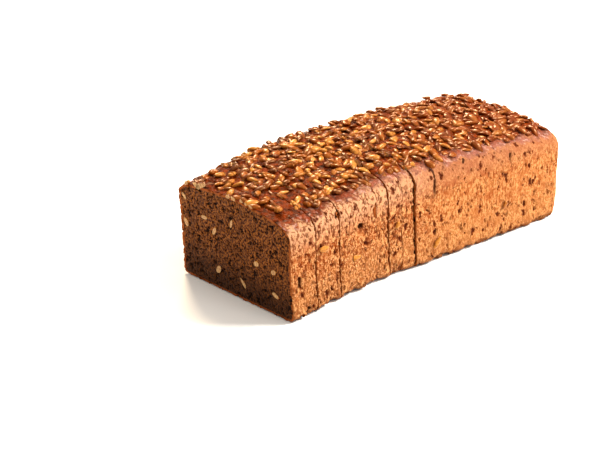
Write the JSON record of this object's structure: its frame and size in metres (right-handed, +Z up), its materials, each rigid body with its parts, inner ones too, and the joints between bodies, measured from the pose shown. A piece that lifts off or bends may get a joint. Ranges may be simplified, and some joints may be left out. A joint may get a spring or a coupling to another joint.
{
  "type": "part-sliced seeded tin loaf",
  "caption": "Long dark rye tin loaf topped with sunflower kernels, with standing slices at one end and an uncut baked end.",
  "frame": {"origin": "on the table, under the middle of the loaf's bounding box", "axes": "+X along the loaf from the open cut end to the uncut baked end, +Y across it to the far side, +Z up to the crown"},
  "size_m": [0.2512, 0.1164, 0.0704],
  "materials": {
    "crumb": "dark moist rye crumb, close and finely holed, torn a little by the knife",
    "crust": "thin orange-brown tin crust, dry and finely pitted",
    "top_crust": "dark red-brown baked top, brushed with starch so that it shines",
    "kernel": "hulled sunflower kernels, toasted gold to brown, satin"
  },
  "bodies": {
    "root": {"slice_01": "crumb", "slice_02": "crumb", "slice_03": "crumb", "slice_04": "crumb", "slice_05": "crumb", "slice_06": "crumb", "slice_07": "crumb", "slice_08": "crumb", "slice_09": "crumb", "slice_10": "crumb", "uncut_end": "crust"}
  },
  "joints": []
}
